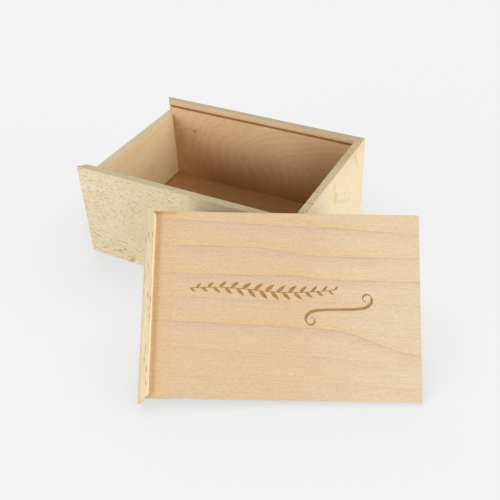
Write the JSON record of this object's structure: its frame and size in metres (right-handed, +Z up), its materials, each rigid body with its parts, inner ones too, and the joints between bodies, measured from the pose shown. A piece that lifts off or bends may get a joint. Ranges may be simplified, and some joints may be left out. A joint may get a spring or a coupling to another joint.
{
  "type": "keepsake box",
  "caption": "Open-topped beech box with mitred corners and a sliding lid panel on an end rail, drawn out and leaning on one corner.",
  "frame": {"origin": "on the surface that the box stands on, at the middle of the front wall's underside", "axes": "+X along the box from its low, open end to its high end, +Y from the front wall to the back wall, +Z up"},
  "size_m": [0.4598, 0.4037, 0.1512],
  "materials": {
    "front_wall": "sanded beech, bare",
    "back_wall": "sanded beech, bare",
    "low_end_wall": "sanded beech, bare",
    "high_end_wall": "sanded beech, bare",
    "floor_panel": "sanded beech, bare",
    "lid_panel": "sanded beech, bare, engraved",
    "lid_rail": "sanded beech, bare"
  },
  "bodies": {
    "box": {"front_wall": "front_wall", "back_wall": "back_wall", "low_end_wall": "low_end_wall", "high_end_wall": "high_end_wall", "floor_panel": "floor_panel"},
    "lid": {"lid_panel": "lid_panel", "lid_rail": "lid_rail"}
  },
  "joints": [
    {"name": "lid_lift", "type": "slide", "parent": "box", "child": "lid", "axis": [0, 0, 1], "range_m": [0, 0.16]}
  ]
}
